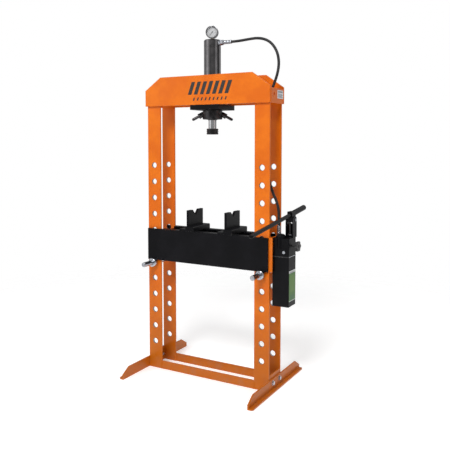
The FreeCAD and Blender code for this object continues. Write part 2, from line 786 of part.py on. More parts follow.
tower_mid = V(pump_x + tower_x, pump_y + tower_y, pump_top)
pivot = tower_mid + V(0, pivot_back, pivot_up)
tower_half = cheek_gap / 2 + cheek_t
tower = block(tower_mid.x - tower_half, tower_mid.x + tower_half,
              tower_mid.y - cheek_d / 2, tower_mid.y + cheek_d / 2,
              pump_top, pump_top + tower_base_h)
for side in (-1, 1):
    x = tower_mid.x + side * (cheek_gap + cheek_t) / 2
    cheek = block(x - cheek_t / 2, x + cheek_t / 2, tower_mid.y - cheek_d / 2,
                  tower_mid.y + cheek_d / 2, pump_top, pump_top + cheek_h)
    cheek = soften(cheek, cheek_round, lambda e: runs_along(X)(e)
                   and e.Vertexes[0].Z > pump_top + 1)
    tower = tower.fuse(cheek)
cheek_back = tower_mid.y + cheek_d / 2
tower = tower.fuse(block(tower_mid.x - cheek_gap / 2, tower_mid.x + cheek_gap / 2,
                         cheek_back - cheek_t, cheek_back, pump_top, pump_top + tower_web_h))
pin_start = pivot - X * (tower_half + pivot_side)
lever_pin = rod(pin_start, X, pivot_r, 2 * (tower_half + pivot_side))
tower = tower.removeSplitter().cut(lever_pin)

plunger_at = V(tower_mid.x, pivot.y - plunger_front, 0)
hub_bottom = pivot.z - hub_down
plunger_z = pump_top - plunger_depth
dome_z = hub_bottom - plunger_gap - plunger_r
plunger = joined(rod(plunger_at + Z * plunger_z, Z, plunger_r, dome_z - plunger_z),
                 Part.makeSphere(plunger_r, plunger_at + Z * dome_z))
well = rod(plunger_at + Z * (plunger_z - plunger_room), Z, plunger_r + turn_gap,
           plunger_depth + plunger_room + tower_base_h + 1)
pump_head = pump_head.cut(well)
tower = tower.cut(well)

knob_at = V(pump_right - knob_depth, pump_y + pump_d / 2, pump_top - knob_down)
pump_head = pump_head.cut(rod(knob_at, X, knob_stem_r + turn_gap, knob_depth + 1))
stem_end = knob_depth - knob_end_gap + knob_stem_len
knob = rod(knob_at + X * knob_end_gap, X, knob_stem_r, stem_end)
disc_at = knob_at + X * (stem_end + knob_end_gap)
disc = rod(disc_at, X, knob_r - knob_lobe_r * 0.6, knob_t)
for k in range(knob_lobes):
    a = 2 * math.pi * k / knob_lobes
    centre = disc_at + (Y * math.cos(a) + Z * math.sin(a)) * (knob_r - knob_lobe_r)
    disc = disc.fuse(rod(centre, X, knob_lobe_r, knob_t))
add("release_knob", joined(knob, disc))

plug_at = V(pump_x + plug_x, pump_y, head_bottom + plug_up)
add("pump_plug", hexagon(plug_at, forward, plug_r * 2, plug_h))
add("pump_bracket", bracket)
add("pump_reservoir", reservoir)
add("pump_gasket", gasket)
add("pump_head", pump_head)
add("pump_tower", tower)
add("pump_fitting", fitting)
add("lever_pin", lever_pin)
add("pump_plunger", plunger)
add("frame_bolts", *bolts)
label_y = pump_y + pump_d / 2
label_z = pump_z + label_up
add("pump_label", block(pump_right, pump_right + sticker_t, label_y - label_w / 2,
                        label_y + label_w / 2, label_z, label_z + label_h))

# ---------------------------------------------------------------- lever
drop = math.radians(lever_drop)
over_pivot = pivot + Z * lever_up
toward_back = V(0, math.cos(drop), math.sin(drop))
bar_start = over_pivot - toward_back * (lever_front / math.cos(drop))
bar_len = (lever_front + hub_back + socket_len - socket_root) / math.cos(drop)
bar = rod(bar_start, toward_back, lever_r, bar_len)
bar = bar.makeFillet(lever_r * 0.6, [e for e in bar.Edges if isinstance(e.Curve, Part.Circle)
                                     and e.Curve.Center.y < pivot.y - hub_front])
hub_half = cheek_gap / 2 - hub_gap
hub = block(pivot.x - hub_half, pivot.x + hub_half, pivot.y - hub_front, pivot.y + hub_back,
            hub_bottom, pivot.z + hub_up)
hub = soften(hub, hub_down * 0.8, lambda e: runs_along(X)(e) and e.Vertexes[0].Z < pivot.z
             and e.Vertexes[0].Y > pivot.y)
socket_start = over_pivot + toward_back * ((hub_back - 1) / math.cos(drop))
socket = joined(hub, rod(socket_start, toward_back, socket_r, socket_len))
socket = socket.cut(rod(over_pivot - toward_back * socket_bore, toward_back, lever_r + seat_gap,
                        bar_len + socket_bore - lever_front / math.cos(drop)))
socket = socket.cut(rod(pin_start, X, pivot_r + turn_gap, 2 * (tower_half + pivot_side)))
add("lever_bar", bar)
add("lever_socket", socket)

# ---------------------------------------------------------------- origin and files
box = Part.makeCompound([s for n, s in nodes.items() if n != "hose"]).BoundBox
origin_shift = V(-box.Center.x, -box.Center.y, 0)
os.makedirs("parts", exist_ok=True)
for name, shape in nodes.items():
    shape.translate(origin_shift)
    shape.exportStep("parts/" + name + ".step")
    if not shape.isValid():
        print("not valid:", name)
print(len(nodes), "nodes; origin shift", [round(c, 3) for c in origin_shift])
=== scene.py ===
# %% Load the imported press
import bpy
import bmesh
import json
from math import cos, degrees, pi, radians, sin
from mathutils import Matrix, Vector


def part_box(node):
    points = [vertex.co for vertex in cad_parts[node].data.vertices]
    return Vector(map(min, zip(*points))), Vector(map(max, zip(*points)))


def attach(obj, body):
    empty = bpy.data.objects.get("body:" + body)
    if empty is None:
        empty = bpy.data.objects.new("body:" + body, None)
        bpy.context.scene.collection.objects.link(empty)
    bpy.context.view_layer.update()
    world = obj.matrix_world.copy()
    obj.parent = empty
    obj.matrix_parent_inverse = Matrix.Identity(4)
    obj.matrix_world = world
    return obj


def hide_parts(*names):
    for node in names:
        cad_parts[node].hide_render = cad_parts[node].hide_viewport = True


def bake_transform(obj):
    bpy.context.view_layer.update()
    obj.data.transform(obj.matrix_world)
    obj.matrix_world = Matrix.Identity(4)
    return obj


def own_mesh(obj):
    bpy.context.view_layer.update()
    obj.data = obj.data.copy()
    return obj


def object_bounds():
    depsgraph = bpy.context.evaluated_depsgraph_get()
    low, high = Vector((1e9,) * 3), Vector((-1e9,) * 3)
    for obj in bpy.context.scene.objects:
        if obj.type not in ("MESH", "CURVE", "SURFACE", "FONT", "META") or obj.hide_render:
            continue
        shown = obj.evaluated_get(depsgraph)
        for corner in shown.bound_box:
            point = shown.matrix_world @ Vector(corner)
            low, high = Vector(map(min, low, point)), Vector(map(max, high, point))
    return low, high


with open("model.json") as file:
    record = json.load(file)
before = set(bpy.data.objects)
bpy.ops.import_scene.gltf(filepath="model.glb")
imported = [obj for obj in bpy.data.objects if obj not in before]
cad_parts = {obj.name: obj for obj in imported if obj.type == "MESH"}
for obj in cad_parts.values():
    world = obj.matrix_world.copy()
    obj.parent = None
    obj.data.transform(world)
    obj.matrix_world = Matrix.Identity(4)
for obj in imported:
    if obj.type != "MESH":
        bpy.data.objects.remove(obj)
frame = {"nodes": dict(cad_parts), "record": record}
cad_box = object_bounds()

# %% [markdown]
# # A hydraulic shop press
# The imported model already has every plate, bar, pin and bolt in its true place, in metres.
# This lesson gives each of them its finish, and adds what a machined or welded thing has
# besides its plain solids: the hose, weld beads, washers, crimped ferrules, the printed dial.
#
# First come a few places that later cells measure from. They are read from the model, so
# that nothing has to be fitted by eye.

# %% Places read from the model
X, Z = Vector((1, 0, 0)), Vector((0, 0, 1))
MM = 0.001


def middle(node):
    low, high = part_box(node)
    return (low + high) / 2


ram_axis = middle("press_head")
frame_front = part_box("upright_front_right")[0].y
frame_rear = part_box("upright_rear_right")[1].y
beam_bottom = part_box("beam_plate_front")[0].z
tube_low, tube_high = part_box("cylinder_tube")
cylinder_r = (tube_high.x - tube_low.x) / 2
print("ram axis at", [round(c, 4) for c in ram_axis.xy], "cylinder radius", round(cylinder_r, 4))

# %% [markdown]
# ## The camera
# A press is tall and narrow, so a fairly long lens keeps its bars nearly parallel. The camera
# stands to the right of the front, at chest height, and looks a little down. A small
# downward shift of the picture keeps the uprights from leaning.

# %% Camera
FROM_RAM = Vector((1.6661, -2.8135, 1.2730))    # the camera, from the foot of the ram's axis
LENS_MM, SENSOR_MM, SHIFT = 48.67, 36, -0.1
camera_place = ram_axis.xy.to_3d() + FROM_RAM
camera_turn, camera_dip = radians(29.46), radians(3.61)
lens = bpy.data.cameras.new("camera")
lens.lens, lens.sensor_width, lens.shift_y = LENS_MM, SENSOR_MM, SHIFT
camera = bpy.data.objects.new("camera", lens)
camera.location = camera_place
camera.rotation_euler = (pi / 2 - camera_dip, 0, camera_turn)
bpy.context.collection.objects.link(camera)
bpy.context.scene.camera = camera
print("camera", [round(c, 3) for c in camera_place], "field", round(degrees(lens.angle), 1), "degrees")

# %% [markdown]
# ## The hose
# Pressure oil goes from the pump to the cylinder through a wire-braided rubber hose. It is
# held by its two fittings and nothing else, so it bows over the end of the beam and then
# hangs down between the uprights. One NURBS curve with a few control points gives that easy
# line. The tube is the same curve with a bevel, turned into a mesh. The real hose must bend
# when the cylinder slides along the beam; this one keeps the one shape.

# %% Hose route
hose_r = 7 * MM
route = (
    (0.116, 0.0735, 1.793),
    (0.158, 0.0735, 1.793),
    (0.214, 0.074, 1.798),
    (0.276, 0.075, 1.801),
    (0.334, 0.076, 1.781),
    (0.374, 0.077, 1.732),
    (0.388, 0.077, 1.668),
    (0.376, 0.076, 1.602),
    (0.346, 0.075, 1.532),
    (0.326, 0.074, 1.444),
    (0.318, 0.073, 1.340),
    (0.316, 0.073, 1.224),
    (0.326, 0.074, 1.112),
    (0.352, 0.074, 1.020),
    (0.384, 0.074, 0.960),
    (0.3925, 0.073, 0.904),
    (0.3925, 0.073, 0.846),
)
route_origin = Vector((ram_axis.x, ram_axis.y - 0.0735, 0))
route = [Vector(p) + route_origin for p in route]


def smooth_line(points, bevel=0.0):
    """A NURBS curve through the run of the points, made a mesh: a line, or a tube."""
    data = bpy.data.curves.new("line", "CURVE")
    data.dimensions = "3D"
    spline = data.splines.new("NURBS")
    spline.points.add(len(points) - 1)
    for point, place in zip(spline.points, points):
        point.co = (*place, 1)
    spline.order_u = 3
    spline.use_endpoint_u = True
    data.resolution_u = 16
    data.bevel_depth = bevel
    data.bevel_resolution = 6
    data.use_fill_caps = True
    holder = bpy.data.objects.new("line", data)
    mesh = bpy.data.meshes.new_from_object(holder)
    bpy.data.objects.remove(holder)
    return mesh


hose_line = [v.co.copy() for v in smooth_line(route).vertices]
hose_len = sum((b - a).length for a, b in zip(hose_line, hose_line[1:]))
hose = bpy.data.objects.new("hose_tube", smooth_line(route, hose_r))
bpy.context.collection.objects.link(hose)
for face in hose.data.polygons:
    face.use_smooth = True
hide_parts("hose")
print("hose length", round(hose_len, 3))

# %% [markdown]
# ## Shader maths
# Most finishes below are worked out from the place on the piece: how near an edge is, how
# high above the floor, how much noise. Written as nodes that is a long chain of Math nodes.
# The small class `Val` wraps one output socket, so that `1 - mask * 0.5` adds the nodes.

# %% A socket that can be added and multiplied


class Val:
    """One output socket of a finish."""

    def __init__(self, finish, socket):
        self.finish, self.socket = finish, socket

    def calc(self, operation, *others):
        inputs = dict(enumerate((self, *others)))
        return self.finish.node("ShaderNodeMath", {"operation": operation}, inputs)

    def __add__(self, other):
        return self.calc("ADD", other)

    def __sub__(self, other):
        return self.calc("SUBTRACT", other)

    def __rsub__(self, other):
        return self.calc("SUBTRACT", other) * -1

    def __mul__(self, other):
        return self.calc("MULTIPLY", other)

    def __truediv__(self, other):
        return self.calc("DIVIDE", other)

    __radd__, __rmul__ = __add__, __mul__

    def least(self, other):
        return self.calc("MINIMUM", other)

    def most(self, other):
        return self.calc("MAXIMUM", other)

    def size(self):
        return self.calc("ABSOLUTE")

    def between(self, low, high):
        """0 at low, 1 at high, smooth in between. Low may be the larger one."""
        inputs = {0: self, 1: low, 2: high}
        return self.finish.node("ShaderNodeMapRange", {"interpolation_type": "SMOOTHSTEP"}, inputs)


print("Val adds, subtracts, multiplies and divides sockets")

# %% [markdown]
# ## A finish
# A finish is one material with its nodes. They could be made and joined by hand in the node
# editor, but many finishes here share the same few steps: noise of some size, a mix of two
# colours, a bump, a mask along the edges. Each step is one short method of `Finish`.

# %% A finish: one material and the nodes that it is made of
MIX_FACTOR, MIX_A, MIX_B, MIX_OUT = 0, 6, 7, 2
finishes = {}


class Finish:
    """A material, with short names for the nodes that these finishes use."""

    def __init__(self, name, **fixed):
        self.made = bpy.data.materials.new(name)
        self.made.use_nodes = True
        self.tree = self.made.node_tree
        self.shader = self.tree.nodes["Principled BSDF"]
        for socket, value in fixed.items():
            self.shader.inputs[socket.replace("_", " ")].default_value = value
        self.place = self.node("ShaderNodeTexCoord", out="Object")
        self.x, self.y, self.z = self.parts(self.place)
        finishes[name] = self

    def node(self, kind, settings=None, inputs=None, stops=None, out=0):
        """Adds a node: its settings first, then the values or links of its sockets."""
        made = self.tree.nodes.new(kind)
        for key, value in (settings or {}).items():
            setattr(made, key, value)
        if stops:
            ramp = made.color_ramp
            while len(ramp.elements) < len(stops):
                ramp.elements.new(0.5)
            for element, (at, colour) in zip(ramp.elements, stops):
                element.position, element.color = at, (*colour, 1)
        for key, value in (inputs or {}).items():
            self.link(value, made.inputs[key])
        return Val(self, made.outputs[out])

    def link(self, value, socket):
        if isinstance(value, Val):
            self.tree.links.new(value.socket, socket)
        elif isinstance(value, (tuple, list)) and socket.type == "RGBA":
            socket.default_value = (*value[:3], 1)
        else:
            socket.default_value = value

    def set(self, **sockets):
        for key, value in sockets.items():
            self.link(value, self.shader.inputs[key.replace("_", " ")])

    def parts(self, vector):
        split = self.node("ShaderNodeSeparateXYZ", inputs={0: vector})
        return [Val(self, s) for s in split.socket.node.outputs]

    def noise(self, size, detail=4.0, rough=0.5, stretch=(1, 1, 1)):
        """Noise with features about `size` metres across, drawn out where stretch is over 1."""
        place = self.node("ShaderNodeMapping", inputs={
            0: self.place, 3: tuple(1 / (size * s) for s in stretch)})
        return self.node("ShaderNodeTexNoise", inputs={
            "Vector": place, "Scale": 1.0, "Detail": detail, "Roughness": rough})

    def mixed(self, factor, a, b):
        return self.node("ShaderNodeMix", {"data_type": "RGBA"},
                         {MIX_FACTOR: factor, MIX_A: a, MIX_B: b}, out=MIX_OUT)

    def bump(self, height, strength, distance=1 * MM):
        normal = self.node("ShaderNodeBump", inputs={
            "Strength": strength, "Distance": distance, "Height": height})
        self.set(Normal=normal)

    def edges(self, low, high, width):
        """1 on the edges of a box, fading to 0 at `width` metres from them."""
        gaps = [(v - a).least(b - v) for v, a, b in zip((self.x, self.y, self.z), low, high)]
        a, b, c = [gap.size() for gap in gaps]
        second = a.least(b).most(a.most(b).least(c))
        return second.between(width, 0.0)


# %% [markdown]
# ## Paint
# The frame is powder-coated orange and the moving table and pump black. Powder coat is thick:
# it has a faint orange-peel ripple, it thins and chips on sharp edges, and dust settles on it
# near the floor. The paint is also darkened towards the floor as a painted shade, and made
# lighter on the edges, partly as rubbed paint and partly as a painted highlight. Each piece gets
# its own copy of the finish, because the wear and the painted edge highlight follow that piece's
# own edges, which are the edges of its box.

# %% Painted finishes
BARE_STEEL = (0.30, 0.29, 0.28)
ORANGE, ORANGE_DEEP = (0.80, 0.178, 0.003), (0.70, 0.135, 0.002)
BLACK, BLACK_DUSTY = (0.0016, 0.0016, 0.0026), (0.0048, 0.0046, 0.0064)
bores = [m for m in frame["record"]["mounts"] if m["name"].startswith("pin_bore")]
bore_heights = sorted({m["pos_m"][2] for m in bores})
bore_r = bores[0]["dims"]["r_mm"] * MM
HOLES_BETWEEN = 7       # pitches from the lower marked hole to the upper one
EDGE_WEAR_AND_HIGHLIGHT = 3.2 * MM
# LOW_TOP and LOW_SHARE set a painted shade: the paint is darkened towards the floor.
LOW_TOP, DUST_TOP = 0.75, 0.13      # heights where the darker low tone and the dust end
LOW_SHARE = (0.52, 0.72, 0.6)       # red, green and blue left in the darkest low tone
DUST = (0.26, 0.20, 0.14)
hole_pitch = (bore_heights[1] - bore_heights[0]) / HOLES_BETWEEN


def painted(name, low, high, colour, deep, chips=1.0, gloss=0.08):
    """Paint on a piece whose box is low to high. Chips and gloss are shares, 0 for none."""
    finish = Finish(name, Roughness=0.4, Coat_Roughness=0.15, IOR=1.4, Specular_IOR_Level=gloss * 2.5)
    tone = finish.noise(0.16, 5, 0.6)
    speck = finish.noise(0.0022, 2, 0.5)
    fleck = finish.noise(0.011, 6, 0.7)
    edge = finish.edges(low, high, EDGE_WEAR_AND_HIGHLIGHT)
    chipped = (edge * 0.42 + fleck * 0.75).between(0.80, 0.86) * chips
    # Rubbed edges: lighter and a little smoother, partly worn paint and partly a painted highlight along
    # the edges.
    rubbed_edge_highlight = (edge * 0.55 + tone * 0.5).between(0.45, 0.95)
    # Painted shade: the paint darkens towards the floor, below LOW_TOP.
    shade = finish.z.between(LOW_TOP, 0.0) * 0.7
    dust = finish.z.between(DUST_TOP, 0.0) * finish.noise(0.05, 5, 0.6).between(0.42, 0.72) * 0.2
    paint = finish.mixed(tone.between(0.38, 0.68), deep, colour)
    paint = finish.mixed(shade, paint, tuple(c * k for c, k in zip(deep, LOW_SHARE)))
    paint = finish.mixed(rubbed_edge_highlight * 0.25, paint, tuple(min(1, c * 1.3) for c in colour))
    paint = finish.mixed(dust, paint, DUST)
    finish.set(Base_Color=finish.mixed(chipped, paint, BARE_STEEL),
               Roughness=0.33 + tone * 0.14 + dust * 0.4 - rubbed_edge_highlight * 0.06,
               Metallic=chipped * 0.9, Coat_Weight=(1 - chipped) * gloss)
    finish.bump(speck * 0.35 + (1 - chipped) * 0.5 + tone * 0.2, 0.22, 0.5 * MM)
    return finish


BELOW, ABOVE = 2, 2     # holes under the lower marked one, and over the upper one
row_low = bore_heights[0] - (BELOW + 0.5) * hole_pitch
row_high = bore_heights[1] + (ABOVE + 0.5) * hole_pitch


def worn_bores(finish, middle_x, colour):
    """A ring of rubbed paint and grease round every pin hole of an upright."""
    across = finish.x - middle_x
    in_row = finish.z.between(row_low, row_low + MM).least(finish.z.between(row_high, row_high - MM))
    turn = ((finish.z - bore_heights[0]) / hole_pitch + 0.5).calc("FRACT") - 0.5
    up = turn * hole_pitch
    away = (across * across + up * up).calc("SQRT") - bore_r
    grime = finish.noise(0.006, 5, 0.65)
    grease = away.between(6 * MM, 0.0) * grime.between(0.35, 0.7) * in_row * 0.5
    bare = (away.between(1.5 * MM, 0.0) * 0.6 + grime * 0.5).between(0.66, 0.78) * in_row
    base = Val(finish, finish.shader.inputs["Base Color"].links[0].from_socket)
    metal = Val(finish, finish.shader.inputs["Metallic"].links[0].from_socket)
    greased = finish.mixed(grease, base, tuple(c * 0.35 for c in colour))
    finish.set(Base_Color=finish.mixed(bare, greased, BARE_STEEL), Metallic=metal.most(bare * 0.9))


def dress(node, finish):
    """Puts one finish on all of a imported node."""
    slots = frame["nodes"][node].material_slots
    if not slots:
        frame["nodes"][node].data.materials.append(finish.made)
    for slot in slots:
        slot.material = finish.made


node_slots = {s["node"]: s["material_slot"] for s in frame["record"]["subparts"]}
for node, slot in node_slots.items():
    if slot not in ("orange_paint", "black_paint"):
        continue
    orange = slot == "orange_paint"
    colour, deep = (ORANGE, ORANGE_DEEP) if orange else (BLACK_DUSTY, BLACK)
    chips, gloss = (1.0, 0.12) if orange else (0.8, 0.06)
    made = painted("paint_" + node, *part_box(node), colour, deep, chips, gloss)
    if node.startswith("upright"):
        worn_bores(made, middle(node).x, ORANGE)
    dress(node, made)
print("hole pitch", round(hole_pitch, 4), "painted", len(finishes))

# %% [markdown]
# ## Bare metals
# Steel that is turned on a lathe has fine rings, ground steel has straight scratches and
# plated steel is mottled. All of them are the same idea: noise drawn out along the direction
# of the tool, in the roughness and in a very shallow bump.

# %% Metals


def metal(name, light, dark, rough, grain=(1, 1, 1), size=0.002, depth=0.08, mottle=0.5,
          metallic=1.0):
    """Bare metal. Grain draws the fine noise out, and a smaller mottle gives sharper clouds."""
    finish = Finish(name, Roughness=rough, Metallic=metallic)
    cloud = finish.noise(0.03, 5, 0.6)
    fine = finish.noise(size, 3, 0.55, grain)
    finish.set(Base_Color=finish.mixed(cloud.between(0.5 - mottle / 2, 0.5 + mottle / 2), dark, light),
               Roughness=rough + (cloud - 0.5) * 0.2 + (fine - 0.5) * 0.15)
    finish.bump(fine, depth, 0.4 * MM)
    return finish


ALONG_Z, AROUND_Z, AROUND_Y = (1, 1, 30), (30, 30, 1), (30, 1, 30)
metal("dark_steel", (0.10, 0.095, 0.098), (0.030, 0.029, 0.031), 0.36, (12, 12, 1))
metal("cylinder_black", (0.21, 0.20, 0.205), (0.14, 0.136, 0.14), 0.15, ALONG_Z, 0.003, 0.04)
metal("chrome", (0.72, 0.73, 0.75), (0.60, 0.61, 0.63), 0.12, AROUND_Z, 0.0015, 0.03, 0.8)
metal("zinc_steel", (0.60, 0.63, 0.68), (0.34, 0.35, 0.38), 0.27, (1, 1, 1), 0.004, 0.06)
metal("spring_steel", (0.22, 0.21, 0.21), (0.10, 0.09, 0.09), 0.4)
metal("gauge_steel", (0.42, 0.42, 0.43), (0.26, 0.26, 0.27), 0.2, AROUND_Y, 0.002, 0.04)
metal("brass", (0.62, 0.46, 0.20), (0.44, 0.31, 0.12), 0.3, AROUND_Z)
print("metals", [n for n in finishes if not n.startswith("paint_")])

# %% [markdown]
# ## Rubber, plastic, print and glass
# The hose cover is rubber moulded over a wire braid, and shows the marks of the cloth tape
# that it was cured in: a fine slanted ribbing. Its tube has a UV map, with U across and V
# along, so the ribbing follows the bends.

# %% Rubber and plastic
rubber = Finish("hose_rubber", Roughness=0.5, Specular_IOR_Level=0.4)
uv_u, uv_v, _ = rubber.parts(rubber.node("ShaderNodeUVMap", {"uv_map": "UVMap"}))
RIB = 2.2 * MM
ribs = ((uv_u * (hose_len / RIB) + uv_v * 2) * (2 * pi)).calc("SINE") * 0.5 + 0.5
scuff = rubber.noise(0.02, 5, 0.65)
rubber_tone = rubber.mixed(scuff.between(0.45, 0.75), (0.012, 0.012, 0.013), (0.045, 0.043, 0.042))
rubber.set(Base_Color=rubber_tone, Roughness=0.42 + scuff * 0.2)
rubber.bump(ribs * 0.6 + scuff * 0.4, 0.35, 0.5 * MM)

plastic = Finish("black_plastic", Roughness=0.35)
pebble = plastic.noise(0.0016, 2, 0.5)
plastic_tone = plastic.mixed(plastic.noise(0.02, 4, 0.6), (0.010, 0.010, 0.011), (0.026, 0.025, 0.026))
plastic.set(Base_Color=plastic_tone, Roughness=0.30 + plastic.noise(0.012, 4, 0.6) * 0.18)
plastic.bump(pebble, 0.25, 0.4 * MM)
print("hose ribs", round(RIB / MM, 1), "mm apart")

# %% [markdown]
# ## Films and glass
# The labels are printed films, so their print is part of the colour: bands laid over a worn
# base by their share of the film's height and width. None of them holds any lettering. The
# glass of the gauge is mostly clear, which Alpha gives more simply than true refraction.

# %% Printed films, the dial and its glass


def film(name, colour, faded, rough=0.45):
    """A printed film that fades in worn patches."""
    finish = Finish(name, Roughness=rough)
    wear = finish.noise(0.008, 6, 0.7)
    finish.set(Base_Color=finish.mixed(wear.between(0.4, 0.75), colour, faded),
               Roughness=rough + (wear - 0.5) * 0.25)
    finish.bump(finish.noise(0.02, 3, 0.5), 0.05, 0.5 * MM)
    return finish


film("graphic_black", (0.020, 0.019, 0.019), (0.040, 0.034, 0.030))
film("dial_white", (0.52, 0.52, 0.53), (0.44, 0.44, 0.44))
ink = film("ink", (0.01, 0.01, 0.01), (0.025, 0.025, 0.025))


def banded(finish, node, bands):
    """Prints bands across a film: each from and to a share of its height, and a colour."""
    low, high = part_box(node)
    soft = 0.004
    base = Val(finish, finish.shader.inputs["Base Color"].links[0].from_socket)
    up = (finish.z - low.z) / (high.z - low.z)
    along = (finish.y - low.y) / (high.y - low.y)
    for start, end, left, right, colour in bands:
        inside = up.between(start - soft, start + soft).least(up.between(end + soft, end - soft))
        inside = inside.least(along.between(left - soft, left + soft))
        inside = inside.least(along.between(right + soft, right - soft))
        base = finish.mixed(inside, base, colour)
    finish.set(Base_Color=base)


WHITE, GREY, INK = (0.60, 0.62, 0.62), (0.30, 0.31, 0.32), (0.02, 0.02, 0.02)
green = film("label_green", (0.055, 0.155, 0.026), (0.085, 0.20, 0.045))
lines = [(0.955 - 0.022 * k, 0.965 - 0.022 * k, 0.12, 0.88 - 0.13 * (k % 2), INK) for k in range(3)]
banded(green, "pump_label", [(0.92, 1.0, 0.0, 1.0, WHITE), *lines,
                             (0.30, 0.84, 0.14, 0.86, (0.095, 0.20, 0.035)),
                             (0.04, 0.20, 0.10, 0.90, (0.045, 0.14, 0.045)),
                             (0.0, 0.02, 0.0, 1.0, WHITE)])
white = film("label_white", (0.74, 0.76, 0.80), (0.60, 0.62, 0.66))
banded(white, "end_label", [(0.70, 0.90, 0.10, 0.90, GREY),
                            *[(0.14 + 0.12 * k, 0.19 + 0.12 * k, 0.10, 0.90 - 0.16 * (k % 2), INK)
                              for k in range(4)]])
Finish("gauge_glass", Base_Color=(0.9, 0.92, 0.93, 1), Roughness=0.03, Alpha=0.14,
       Coat_Weight=1.0)
for node, slot in node_slots.items():
    if slot in finishes:
        dress(node, finishes[slot])
dress("cylinder_tube", finishes["cylinder_black"])
dress("cylinder_cap", finishes["cylinder_black"])
hose.data.materials.append(rubber.made)
print(len(bpy.data.materials), "materials")

# %% [markdown]
# ## Turned pieces
# Washers, ferrules, caps and collars are all turned on a lathe: an outline spun round a line.
# `spin` does just that, with the outline as a few vertices of (radius, height).

# %% Helper: finished objects and turned shapes


def keep(name, mesh, body, finish, smooth=True):
    """Makes a finished piece of a bmesh, riding on a body."""
    data = bpy.data.meshes.new(name)
    mesh.to_mesh(data)
    mesh.free()
    made = bpy.data.objects.new(name, data)
    bpy.context.collection.objects.link(made)
    data.materials.append(finish.made if isinstance(finish, Finish) else finishes[finish].made)
    if smooth:
        data.shade_smooth()
        data.set_sharp_from_angle(angle=radians(35))
    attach(made, body)
    print(f"{name} rides on {body}, {len(data.polygons)} faces")
    return made


def placing(start, along):
    """The matrix that stands a shape made about Z on `start`, pointing along `along`."""
    return Matrix.Translation(start) @ along.normalized().to_track_quat("Z", "Y").to_matrix().to_4x4()


def turned(mesh, outline, start, along, steps=48):
    """Spins an outline of (radius, height) points into the bmesh, closed all round."""
    corners = [mesh.verts.new((r, 0, h)) for r, h in outline]
    ends = list(zip(corners, corners[1:]))
    if outline[0][0] > 0 and outline[-1][0] > 0:
        ends.append((corners[-1], corners[0]))
    geometry = corners + [mesh.edges.new(pair) for pair in ends]
    before = set(mesh.verts) - set(corners)
    bmesh.ops.spin(mesh, geom=geometry, axis=Z, cent=(0, 0, 0), angle=2 * pi, steps=steps,
                   use_merge=True)
    fresh = [v for v in mesh.verts if v not in before]
    bmesh.ops.remove_doubles(mesh, verts=fresh, dist=1e-6)
    fresh = [v for v in mesh.verts if v not in before]
    bmesh.ops.transform(mesh, matrix=placing(start, along), verts=fresh)
    bmesh.ops.recalc_face_normals(mesh, faces=mesh.faces)


def washer(mesh, at, along, inner, outer, thick=2.0 * MM):
    soft = 0.4 * MM
    turned(mesh, [(inner, 0), (outer, 0), (outer, thick - soft), (outer - soft, thick), (inner, thick)],
           at, along, 32)


# %% [markdown]
# ## Return spring
# Inside the cylinder a spring pushes the piston back up, and it gets shorter as the ram goes down.
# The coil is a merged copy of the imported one.

# %% Return spring
spring_low, spring_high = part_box("return_spring")
joints = {j["name"]: j for j in frame["record"]["behaviour"]["joints"]}
stroke = joints["ram_stroke"]["range_m"][1]
coil = bmesh.new()
coil.from_mesh(frame["nodes"]["return_spring"].data)
bmesh.ops.remove_doubles(coil, verts=coil.verts, dist=1e-6)
return_coil = keep("return_coil", coil, "carriage", "spring_steel")
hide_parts("return_spring")
1 - stroke / (spring_high.z - spring_low.z)
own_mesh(return_coil)
print(f"the spring shortens from {(spring_high.z - spring_low.z) / MM:.0f} mm by {stroke / MM:.0f} mm")

# %% [markdown]
# ## Hose fittings
# Each end of the hose is pushed into a steel ferrule that a press then squeezes at several
# places, which leaves rings of shallow grooves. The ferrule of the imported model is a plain
# sleeve, so the crimped one is turned to lie just over it.

# %% Ferrules
FERRULE_R, FERRULE_LEN = 10.2 * MM, 46 * MM
CRIMPS, CRIMP_DEEP = 4, 0.6 * MM


def ferrule(name, mouth, back, body):
    """Crimped sleeve from its mouth, where the hose goes in, back along the fitting."""
    outline = [(hose_r + 0.2 * MM, -0.5 * MM), (FERRULE_R - 0.8 * MM, -0.5 * MM), (FERRULE_R, 1.2 * MM)]
    for k in range(CRIMPS):
        h = (6 + 8.5 * k) * MM
        outline += [(FERRULE_R, h), (FERRULE_R - CRIMP_DEEP, h + 1 * MM),
                    (FERRULE_R - CRIMP_DEEP, h + 4.5 * MM), (FERRULE_R, h + 5.5 * MM)]
    outline += [(FERRULE_R, FERRULE_LEN - 3 * MM), (FERRULE_R - 0.8 * MM, FERRULE_LEN),
                (FERRULE_R - 1.5 * MM, FERRULE_LEN)]
    mesh = bmesh.new()
    turned(mesh, outline, mouth, back)
    return keep(name, mesh, body, "zinc_steel")


ferrule("ferrule_cylinder_end", route[0], X * -1, "carriage")
ferrule("ferrule_pump_end", route[-1], Z * -1, "root")

# %% [markdown]
# ## The gauge
# A pressure gauge reads over three quarters of a turn. Its dial is printed with a scale: short
# marks, long marks and plain numbers. The marks are made flat on the XZ plane about the
# origin and then turned with the gauge, which looks a little to the right.

# %% Dial marks
GAUGE_TURN = radians(20)
dial_middle = middle("gauge_dial")
case_low, case_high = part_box("gauge_case")
case_r = (case_high.z - case_low.z) / 2
dial_look = Vector((sin(GAUGE_TURN), -cos(GAUGE_TURN), 0))
DIAL_FRONT = 0.5 * MM
SCALE_START, SCALE_SWEEP, SCALE_STEPS = radians(225), radians(270), 30
MARK_R, MARK_DEEP, PRINT_T = case_r - 5 * MM, 2 * MM, 0.12 * MM
on_dial = Matrix.Translation(dial_middle + dial_look * DIAL_FRONT) @ Matrix.Rotation(GAUGE_TURN, 4, "Z")

